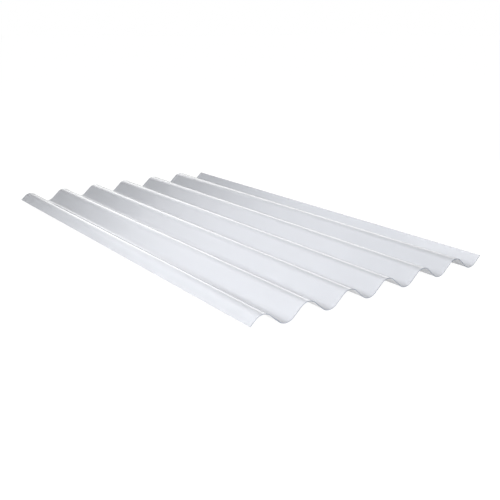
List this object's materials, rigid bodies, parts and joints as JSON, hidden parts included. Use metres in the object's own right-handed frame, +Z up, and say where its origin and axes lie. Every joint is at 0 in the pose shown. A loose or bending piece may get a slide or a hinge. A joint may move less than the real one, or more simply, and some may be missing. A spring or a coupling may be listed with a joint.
{
  "type": "corrugated pvc sheet",
  "caption": "Clear corrugated PVC roofing sheet in the 177/51 profile, a thin wavy skin that lets daylight through.",
  "frame": {"origin": "on the floor under the middle of the sheet, at the centre of its bounding box's bottom", "axes": "+Y along the waves towards the far cut end, +X across the waves from the low long edge to the high long edge, +Z up, towards the crests"},
  "size_m": [1.079, 2, 0.051],
  "materials": {
    "clear_pvc": "clear, smooth and glossy"
  },
  "bodies": {
    "root": {"corrugated_sheet": "clear_pvc"}
  },
  "joints": []
}
